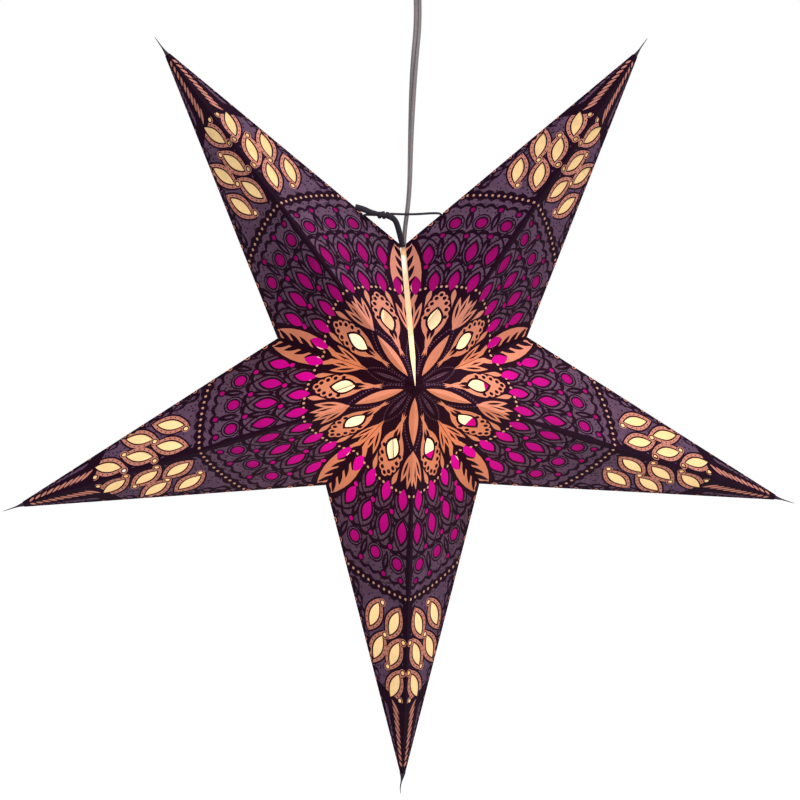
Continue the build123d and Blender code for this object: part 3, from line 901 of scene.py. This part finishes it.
def makePanel(name, points, kept, outline, slopes, matrix, laps):
    bm = bmesh.new()
    uvLayer = bm.loops.layers.uv.new("UVMap")
    verts = [bm.verts.new((p.x, p.y, star["paperLift"] + star["paperThickness"])) for p in points]
    for part, inkIndex in kept:
        face = bm.faces.new([verts[i] for i in part])
        face.material_index = inkIndex
    bmesh.ops.delete(bm, geom=[v for v in bm.verts if not v.link_faces], context="VERTS")
    for face in bm.faces:
        for loop in face.loops:
            loop[uvLayer].uv = loop.vert.co.xy / ridgeLength
    bmesh.ops.recalc_face_normals(bm, faces=bm.faces)
    if sum(f.normal.z for f in bm.faces) < 0:
        bmesh.ops.reverse_faces(bm, faces=bm.faces)
    bmesh.ops.solidify(bm, geom=bm.faces[:], thickness=star["paperThickness"])
    lowest = min(v.co.z for v in bm.verts)
    bmesh.ops.translate(bm, verts=bm.verts, vec=(0, 0, star["paperLift"] - lowest))
    bm.normal_update()
    for face in bm.faces:
        if face.normal.z < 0.5:
            face.material_index = 0 if face.normal.z > -0.5 else len(inkOrder)
    for vert in bm.verts:
        mitre(vert, outline, slopes)
    bmesh.ops.dissolve_degenerate(bm, dist=near["same"], edges=bm.edges)
    for lapPlace in laps:
        addLap(bm, *lapPlace)
    bmesh.ops.transform(bm, matrix=matrix, verts=bm.verts)
    if matrix.determinant() < 0:
        bmesh.ops.reverse_faces(bm, faces=bm.faces)
    return linkMesh(name, finishMesh(name, bm), *[inkMaterials[n] for n in inkOrder], paperInside)


cuts = {
    "tip": 6.6,
    "seamGaps": (0.3, 2.5),  # half the open seam, at the centre and at the notch
    "seamBow": (26.0, 2.3),  # it opens early: how far along, and half how wide there
    "tieHole": 38.0,  # from the notch along the side crease
    "tieHoleRadius": 1.3,
}


def crossing(a, b, c, d):
    return tuple(intersect_line_line(*[(*p, 0) for p in (a, b, c, d)])[0].xy)


centreCorner = (0, 0)
cutLength = ridgeLength - cuts["tip"]
ridgeCorner = (cutLength, 0)
tipCorner = (cutLength, halfWidth(cutLength))
notchCorner = (notchAlong, notchAcross)
toSeam = Vector((cos(radians(valleyTurn)), sin(radians(valleyTurn))))
fromSeam = Vector((toSeam.y, -toSeam.x))
seamBow = toSeam * cuts["seamBow"][0] + fromSeam * cuts["seamBow"][1]
seamLine = (seamBow, Vector(notchCorner) + fromSeam * cuts["seamGaps"][1])
closedOutline = [centreCorner, ridgeCorner, tipCorner, notchCorner]
seamOutline = [
    crossing(fromSeam * cuts["seamGaps"][0], seamBow, centreCorner, ridgeCorner),
    ridgeCorner,
    tipCorner,
    crossing(*seamLine, notchCorner, tipCorner),
    tuple(seamBow),
]
tieHole = Vector(notchCorner) + (Vector(tipCorner) - Vector(notchCorner)).normalized() * cuts["tieHole"]
tieHoleShape = placed(roundShape(cuts["tieHoleRadius"]), *tieHole)
sheets = {
    "closed": (*flatPanel(closedOutline), closedOutline, creaseSlopes(closedOutline, False)),
    "seam": (*flatPanel(seamOutline, [tieHoleShape]), seamOutline, creaseSlopes(seamOutline, True)),
}
print("flat panel", len(sheets["closed"][0]), "points", len(sheets["closed"][1]), "parts")


def panelPlaces():
    # every panel: its point, side and face, its node and the start of its pieces' names
    for point in range(star["points"]):
        for side, sideName in ((1, "left"), (-1, "right")):
            for face, faceName in ((1, "front"), (-1, "back")):
                node = f"point_{point + 1}_{faceName}_{sideName}"
                yield point, side, face, node, f"point{point + 1}{faceName.title()}{sideName.title()}"


seamSides = ((0, -1), (star["points"] - 1, 1))
for point, side, face, node, name in panelPlaces():
    atSeam = (point, side) in seamSides
    sheet = sheets["seam" if atSeam else "closed"]
    laps = panelLaps(sheet[2], side, face, atSeam)
    panel = makePanel(name + "Panel", *sheet, panelMatrix(point, side, face), laps)
    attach(panel, node + "_panel")
    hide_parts(node)
print("panels made")

tissue = {
    "margin": 4.0,
    "gap": 3.0,
    "magentaStart": 0.251,
    "magentaEnd": 0.539,
    "creamEnd": 0.821,
    "thickness": 0.04,
    "behind": 0.02,
    "wave": 0.22,
    "waveScale": 0.06,
    "waveShift": 40,  # so that no two sheets wave alike
    "cell": 6.0,
}


def tissueEdges(name):
    # each edge as a point on it and the direction that leads out of the sheet
    side = (Vector(tipCorner) - Vector(notchCorner)).normalized()
    outOfSide = Vector((-side.y, side.x))
    edges = [
        (Vector((0, tissue["margin"])), Vector((0, -1))),
        (fromSeam * tissue["margin"], -fromSeam),
        (Vector(notchCorner) - outOfSide * tissue["margin"], outOfSide),
    ]
    magentaEnd = ridgeLength * tissue["magentaEnd"]
    if name == "cream":
        edges.append((Vector((magentaEnd + tissue["gap"], 0)), Vector((-1, 0))))
        edges.append((Vector((ridgeLength * tissue["creamEnd"], 0)), Vector((1, 0))))
    else:
        start = Vector((ridgeLength * tissue["magentaStart"], 0))
        startAtSide = Vector((start.x * cos(radians(valleyTurn)) - tissue["margin"], notchAcross))
        along = (startAtSide - start).normalized()
        edges.append((start, Vector((-along.y, along.x))))
        edges.append((Vector((magentaEnd, 0)), Vector((1, 0))))
    return edges


def tissuePart(name, index):
    cell = tissue["cell"]
    across, along = ceil(notchAcross / cell) + 1, ceil(ridgeLength / cell) + 1
    bm = bmesh.new()
    bmesh.ops.create_grid(bm, x_segments=along, y_segments=across, size=0.5)
    bmesh.ops.scale(bm, verts=bm.verts, vec=(along * cell, across * cell, 1))
    bmesh.ops.translate(bm, verts=bm.verts, vec=(along * cell / 2, across * cell / 2, 0))
    for place, outward in tissueEdges(name):
        bmesh.ops.bisect_plane(
            bm,
            geom=[*bm.verts, *bm.edges, *bm.faces],
            plane_co=(*place, 0),
            plane_no=(*outward, 0),
            clear_outer=True,
            dist=near["same"],
        )
    for face in bm.faces:
        face.material_index = index
    return finishMesh(name, bm)


tissueParts = [tissuePart("magenta", 0), tissuePart("cream", 1)]


def makeTissueSheet(name, matrix, turn):
    bm = bmesh.new()
    for part in tissueParts:
        bm.from_mesh(part)
    bmesh.ops.triangulate(bm, faces=bm.faces[:])
    for vert in bm.verts:
        place = Vector((vert.co.x, vert.co.y, turn * tissue["waveShift"])) * tissue["waveScale"]
        vert.co.z = -tissue["behind"] - tissue["wave"] * (1 + noise.noise(place))
    bmesh.ops.recalc_face_normals(bm, faces=bm.faces)
    bmesh.ops.solidify(bm, geom=bm.faces[:], thickness=tissue["thickness"])
    bmesh.ops.transform(bm, matrix=matrix, verts=bm.verts)
    bmesh.ops.recalc_face_normals(bm, faces=bm.faces)
    return linkMesh(name, finishMesh(name, bm), tissueMaterials["magenta"], tissueMaterials["cream"])


for point, side, face, node, name in panelPlaces():
    sheet = makeTissueSheet(name + "Tissue", panelMatrix(point, side, face), point + 0.3 * side + 0.1 * face)
    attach(sheet, node + "_panel")
    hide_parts(node + "_tissue")
print("tissues made")

tip = {
    "root": 299.2,
    "end": 315.5,
    "rootWidth": 4.8,
    "rootDepth": 3.4,
    "stemWidth": 2.1,
    "stemDepth": 1.5,
    "taper": 0.42,  # share of its length in which the paper narrows to the stem
    "taperPower": 1.15,
    "endShare": 0.16,  # thickness of its end against its root
    "bend": 2.6,
    "bendTurn": 2.6,
    "turn": 60,
    "rings": 12,
    "segments": 12,
    "look": {"color": (0.045, 0.032, 0.046), "mottle": 0.2, "glow": ((1, 0.3, 0.1), 0.02, 2)},
}
tipPaper = makeInk("tip", tip["look"])


def makeTip(name, point):
    bm = bmesh.new()
    reach = tip["end"] - tip["root"]
    bmesh.ops.create_cone(
        bm, cap_ends=True, segments=tip["segments"], radius1=1, radius2=tip["endShare"], depth=reach
    )
    uprights = [e for e in bm.edges if abs(e.verts[0].co.z - e.verts[1].co.z) > reach / 2]
    bmesh.ops.subdivide_edges(bm, edges=uprights, cuts=tip["rings"], use_grid_fill=True)
    for vert in bm.verts:
        share = vert.co.z / reach + 0.5
        turn = radians(tip["turn"] * share)
        wide = max(0, 1 - share / tip["taper"]) ** tip["taperPower"]
        flat = sqrt(vert.co.x**2 + vert.co.y**2) / (1 - (1 - tip["endShare"]) * share)
        x = vert.co.x / flat * (tip["stemWidth"] + (tip["rootWidth"] - tip["stemWidth"]) * wide) / 2
        y = vert.co.y / flat * (tip["stemDepth"] + (tip["rootDepth"] - tip["stemDepth"]) * wide) / 2
        vert.co.x = x * cos(turn) - y * sin(turn) + tip["bend"] * sin(tip["bendTurn"] * share) * share
        vert.co.y = x * sin(turn) + y * cos(turn)
    bmesh.ops.scale(bm, verts=bm.verts, vec=(mm, mm, mm))
    direction = radians(star["firstTurn"]) + point * 2 * halfTurn
    outward = Vector((cos(direction), 0, sin(direction)))
    place = star["centre"] + outward * (tip["root"] + tip["end"]) / 2 * mm
    matrix = Matrix.Translation(place) @ outward.to_track_quat("Z", "Y").to_matrix().to_4x4()
    bmesh.ops.transform(bm, matrix=matrix, verts=bm.verts)
    bmesh.ops.recalc_face_normals(bm, faces=bm.faces)
    return linkMesh(name, finishMesh(name, bm, True), tipPaper)


for point in range(star["points"]):
    piece = makeTip(f"point{point + 1}Tip", point)
    node = f"point_{point + 1}_front_left"
    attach(piece, node + "_panel")
    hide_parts(node)
print("tips made")

# below these heights the flex is inside the star and glows in the bulb's light
flexGlow = {"from": -0.245, "full": -0.250, "strength": 0.8, "color": (1.0, 0.52, 0.18)}


def makeTapeFinish():
    return startFinish("tieTape", (0.016, 0.011, 0.020), 0.75, 0.25, (0.3, 500), (2600, 0.5, 0.0003))[0]


def makeFlexFinish():
    grain = (500, 0.06, 0.0002)
    material, tree, shader, place = startFinish("flexSkin", (0.190, 0.162, 0.164), 0.35, 0.4, (0.06, 60), grain)
    shader.inputs["Coat Weight"].default_value = 0.25
    shader.inputs["Coat Roughness"].default_value = 0.2
    parts = addNode(tree, "SeparateXYZ")
    heights = {"From Min": flexGlow["from"], "From Max": flexGlow["full"]}
    inside = addNode(tree, "MapRange", {**heights, "To Min": 0.0, "To Max": flexGlow["strength"]})
    shader.inputs["Emission Color"].default_value = (*flexGlow["color"], 1)
    connect(tree, place, parts.inputs[0])
    connect(tree, parts.outputs["Z"], inside.inputs["Value"])
    connect(tree, inside.outputs["Result"], shader.inputs["Emission Strength"])
    return material


def makePlastic(name, color, roughness, glow=0.0):
    material, tree, shader, _ = startFinish(name, color, roughness, 0.5, (0.04, 40), (900, 0.08, 0.0002))
    # glow paints the bulb's light on the part as emission, as on the lampholder
    if glow:
        addGlow(tree, shader, (1.0, 0.66, 0.30), glow)
    return material


def makeMetal(name, color, roughness, scale):
    material, tree, shader, place = startFinish(name, color, roughness, 0.5, (0.08, 120))
    shader.inputs["Metallic"].default_value = 1.0
    grain = addNode(tree, "TexNoise", {"Scale": scale, "Detail": 3})
    ramp = addNode(tree, "MapRange", {"To Min": roughness * 0.8, "To Max": roughness * 1.3})
    connect(tree, place, grain.inputs["Vector"])
    connect(tree, grain.outputs["Fac"], ramp.inputs["Value"])
    connect(tree, ramp.outputs["Result"], shader.inputs["Roughness"])
    return material


def makeBulbGlass():
    material, tree, shader, _ = startFinish("opalGlass", (0.55, 0.47, 0.33), 0.22, 0.4, (0.03, 30))
    facing = addNode(tree, "LayerWeight", {"Blend": 0.35})
    level = addNode(tree, "MapRange", {"To Min": 1.15, "To Max": 0.9})
    shader.inputs["Emission Color"].default_value = (1.0, 0.78, 0.44, 1)
    connect(tree, facing.outputs["Facing"], level.inputs["Value"])
    connect(tree, level.outputs["Result"], shader.inputs["Emission Strength"])
    return material


tieTape = makeTapeFinish()
for piece in (tieLeft, tieRight, tieUpperTail, tieKnot, leftStopper, rightStopper):
    piece.data.materials.append(tieTape)
flexSkin = makeFlexFinish()
flexCord.data.materials.append(flexSkin)

holderPlastic = makePlastic("holderPlastic", (0.72, 0.69, 0.62), 0.4, 1.5)
brass = makeMetal("contactBrass", (0.72, 0.50, 0.22), 0.28, 400)
zinc = makeMetal("zincPlate", (0.62, 0.63, 0.65), 0.35, 300)
nodeFinishes = {
    "holder_cap": holderPlastic,
    "holder_sleeve": holderPlastic,
    "holder_inner_body": makePlastic("holderCeramic", (0.80, 0.79, 0.76), 0.3, 0.5),
    "flex_clamp": makePlastic("clampPlastic", (0.75, 0.73, 0.70), 0.45),
    "centre_contact": brass,
    "side_contact": brass,
    "bulb_glass": makeBulbGlass(),
    "bulb_screw_shell": makeMetal("bulbNickel", (0.70, 0.69, 0.66), 0.25, 500),
    "bulb_insulator": makePlastic("bulbInsulator", (0.018, 0.017, 0.020), 0.3),
    "bulb_base_contact": makeMetal("solderTin", (0.66, 0.66, 0.66), 0.4, 700),
    "ceiling_cup": makePlastic("cupPlastic", (0.78, 0.78, 0.77), 0.35),
    "ceiling_bracket": zinc,
    "cup_side_screws": makeMetal("screwNickel", (0.70, 0.70, 0.70), 0.22, 900),
    "cord_grip": makePlastic("gripPlastic", (0.76, 0.76, 0.75), 0.4),
    "lock_nut": makePlastic("nutPlastic", (0.70, 0.70, 0.69), 0.45),
    "terminal_block": makePlastic("blockPlastic", (0.74, 0.72, 0.66), 0.5),
    "flex_top": flexSkin,
}
for node, material in nodeFinishes.items():
    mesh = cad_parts[node].data
    mesh.materials.clear()
    mesh.materials.append(material)
print("finishes made")

room = {
    "light": (0.95, 0.96, 1.0),
    "strength": 0.38,
    "floorColor": (0.86, 0.86, 0.86),
    "floorSize": 14,
    "floorHeight": -1.5,
    "floorGlow": 0.68,  # lifts the lit floor to white, but for a shadow
}


def whereSeen(tree):
    # 1 for the camera's own rays, in mirrors and through glass too
    rays = addNode(tree, "LightPath")
    seen = rays.outputs["Is Camera Ray"]
    for kind in ("Is Glossy Ray", "Is Transmission Ray"):
        seen = calculate(tree, "MAXIMUM", seen, rays.outputs[kind])
    return seen


def makeRoom():
    scene = bpy.context.scene
    scene.view_settings.view_transform = "Standard"
    world = bpy.data.worlds.new("room")
    world.use_nodes = True
    scene.world = world
    tree = world.node_tree
    plain = tree.nodes["Background"]
    plain.inputs["Color"].default_value = (*room["light"], 1)
    plain.inputs["Strength"].default_value = room["strength"]
    white = addNode(tree, "Background", {"Color": (1, 1, 1, 1), "Strength": 1.0})
    mix = addNode(tree, "MixShader")
    connect(tree, whereSeen(tree), mix.inputs["Fac"])
    connect(tree, plain.outputs[0], mix.inputs[1])
    connect(tree, white.outputs[0], mix.inputs[2])
    connect(tree, mix.outputs[0], tree.nodes["World Output"].inputs["Surface"])


def makeFloor():
    # pale, far below the star
    bm = bmesh.new()
    bmesh.ops.create_grid(bm, x_segments=1, y_segments=1, size=room["floorSize"])
    bmesh.ops.translate(bm, verts=bm.verts, vec=(0, 0, room["floorHeight"]))
    material, tree, shader, _ = startMaterial("paleFloor", room["floorColor"], 0.8, 0.1)
    glow = calculate(tree, "MULTIPLY", whereSeen(tree), room["floorGlow"])
    shader.inputs["Emission Color"].default_value = (1, 1, 1, 1)
    connect(tree, glow, shader.inputs["Emission Strength"])
    floor = linkMesh("floor", finishMesh("floor", bm), material)


makeRoom()
makeFloor()

lights = {
    "keyLight": {"place": (1.5, -1.2, 2.3), "size": 1.4, "power": 78},
    "fillLight": {"place": (-0.3, -2.8, 0.7), "size": 2.0, "power": 30},
    "backLight": {"place": (0.3, 2.4, 0.8), "size": 1.8, "power": 26},
}
for name, look in lights.items():
    light = bpy.data.lights.new(name, "AREA")
    light.shape = "DISK"
    light.size = look["size"]
    light.energy = look["power"]
    lightObject = addObject(name, light)
    lightObject.location = look["place"]
    away = Vector(look["place"]) - star["centre"]
    lightObject.rotation_euler = away.to_track_quat("Z", "Y").to_euler()
print("lights made")
